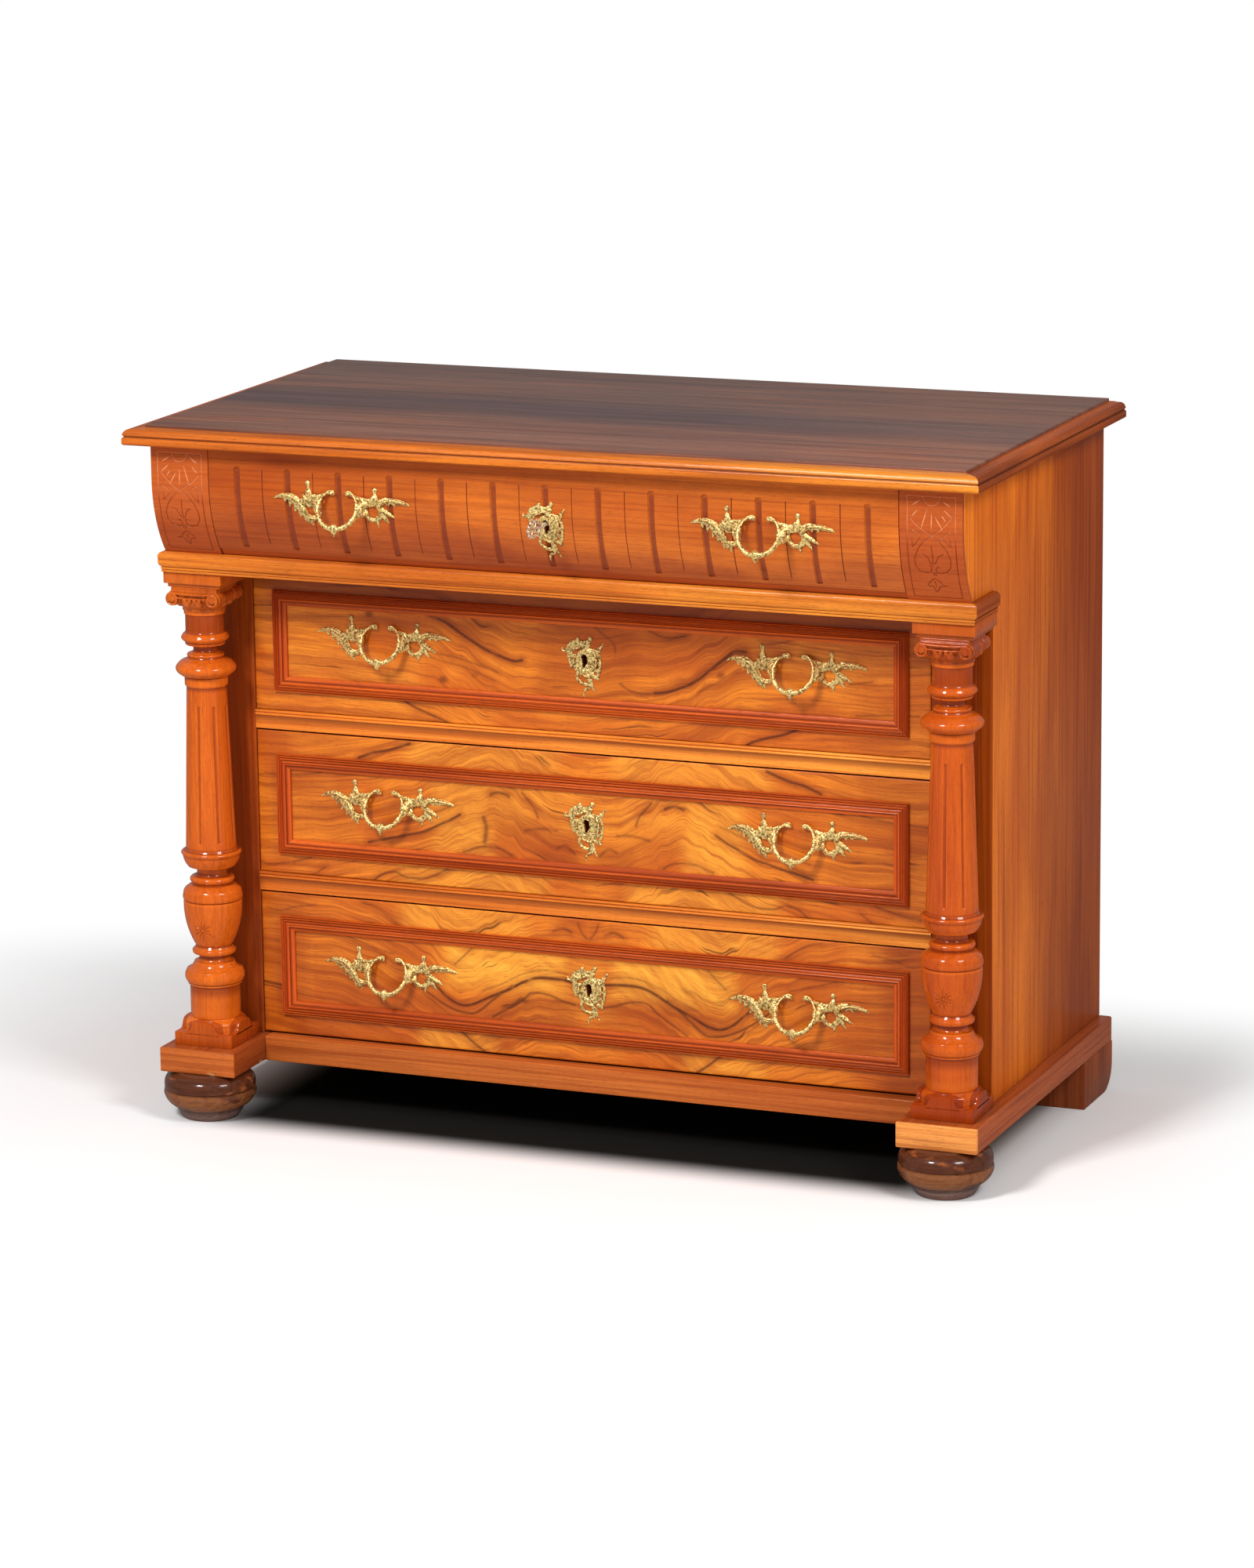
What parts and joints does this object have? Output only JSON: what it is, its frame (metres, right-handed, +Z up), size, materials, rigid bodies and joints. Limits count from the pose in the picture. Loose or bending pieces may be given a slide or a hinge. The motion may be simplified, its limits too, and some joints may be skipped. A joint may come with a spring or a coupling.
{
  "type": "chest of drawers",
  "caption": "Chest of drawers with a bulging fluted top drawer, cornice on turned columns, framed lower drawers, brass handles and a key, on bun feet.",
  "frame": {"origin": "on the floor under the centre of the whole chest, key included", "axes": "+X to the right as one faces the drawers, +Y to the back, +Z up"},
  "size_m": [1.12, 0.6178, 0.9],
  "materials": {
    "walnut_top": "worn shellac over straight walnut grain",
    "walnut_edge": "polished light walnut moulding",
    "walnut_side": "polished walnut, upright grain",
    "walnut_carved": "polished walnut with cut lines",
    "walnut_bulge": "polished rippled walnut",
    "walnut_figured": "polished book-matched walnut veneer",
    "red_moulding": "polished red-brown reeded moulding",
    "walnut_turned": "glossy turned walnut",
    "walnut_plinth": "polished walnut, chipped at the edges",
    "dark_foot": "dark glossy stain, worn below",
    "pine_inside": "bare pine",
    "brass": "cast and polished, tarnished in the hollows",
    "iron": "dark lock iron",
    "key_brass": "old brass, dulled"
  },
  "bodies": {
    "carcass": {"top_panel": "walnut_top", "top_edge_moulding": "walnut_edge", "cornice": "walnut_edge", "upper_rail": "pine_inside", "rail_middle": "walnut_edge", "rail_lower": "walnut_edge", "base_rail": "walnut_plinth", "bottom_board": "pine_inside", "back_panel": "pine_inside", "drawer_runners": "pine_inside", "drawer_guides": "pine_inside", "side_panel_left": "walnut_side", "side_panel_right": "walnut_side", "corner_block_left": "walnut_carved", "corner_block_right": "walnut_carved", "stile_left": "walnut_side", "stile_right": "walnut_side", "plinth_left": "walnut_plinth", "plinth_right": "walnut_plinth", "bun_foot_left": "dark_foot", "bun_foot_right": "dark_foot", "rear_foot_left": "walnut_plinth", "rear_foot_right": "walnut_plinth", "column_left": "walnut_turned", "column_right": "walnut_turned", "capital_left": "walnut_turned", "capital_right": "walnut_turned", "impost_left": "walnut_turned", "impost_right": "walnut_turned", "column_base_left": "walnut_turned", "column_base_right": "walnut_turned"},
    "drawer_1": {"drawer_front_1": "walnut_figured", "drawer_box_1": "pine_inside", "handles_1": "brass", "escutcheon_1": "brass", "lock_case_1": "iron", "frame_moulding_1": "red_moulding"},
    "drawer_2": {"drawer_front_2": "walnut_figured", "drawer_box_2": "pine_inside", "handles_2": "brass", "escutcheon_2": "brass", "lock_case_2": "iron", "frame_moulding_2": "red_moulding"},
    "drawer_3": {"drawer_front_3": "walnut_figured", "drawer_box_3": "pine_inside", "handles_3": "brass", "escutcheon_3": "brass", "lock_case_3": "iron", "frame_moulding_3": "red_moulding"},
    "drawer_4": {"drawer_front_4": "walnut_bulge", "drawer_box_4": "pine_inside", "handles_4": "brass", "escutcheon_4": "brass", "lock_case_4": "iron"},
    "bolt_1": {"lock_bolt_1": "iron"},
    "bolt_2": {"lock_bolt_2": "iron"},
    "bolt_3": {"lock_bolt_3": "iron"},
    "bolt_4": {"lock_bolt_4": "iron"},
    "key": {"key": "key_brass"}
  },
  "joints": [
    {"name": "drawer_1_slide", "type": "slide", "parent": "carcass", "child": "drawer_1", "axis": [0, -1, 0], "range_m": [0, 0.35]},
    {"name": "drawer_2_slide", "type": "slide", "parent": "carcass", "child": "drawer_2", "axis": [0, -1, 0], "range_m": [0, 0.35]},
    {"name": "drawer_3_slide", "type": "slide", "parent": "carcass", "child": "drawer_3", "axis": [0, -1, 0], "range_m": [0, 0.35]},
    {"name": "drawer_4_slide", "type": "slide", "parent": "carcass", "child": "drawer_4", "axis": [0, -1, 0], "range_m": [0, 0.42]},
    {"name": "bolt_1_slide", "type": "slide", "parent": "drawer_1", "child": "bolt_1", "axis": [0, 0, 1], "range_m": [0, 0.009]},
    {"name": "bolt_2_slide", "type": "slide", "parent": "drawer_2", "child": "bolt_2", "axis": [0, 0, 1], "range_m": [0, 0.009]},
    {"name": "bolt_3_slide", "type": "slide", "parent": "drawer_3", "child": "bolt_3", "axis": [0, 0, 1], "range_m": [0, 0.009]},
    {"name": "bolt_4_slide", "type": "slide", "parent": "drawer_4", "child": "bolt_4", "axis": [0, 0, 1], "range_m": [0, 0.009]},
    {"name": "key_turn", "type": "hinge", "parent": "drawer_4", "child": "key", "pos_m": [0, -0.25211, 0.80472], "axis": [0, 1, 0], "range_deg": [0, 364]}
  ],
  "couplings": [
    {"joint": "key_turn", "follows": "bolt_4_slide", "rad_per_m": 698.13}
  ]
}
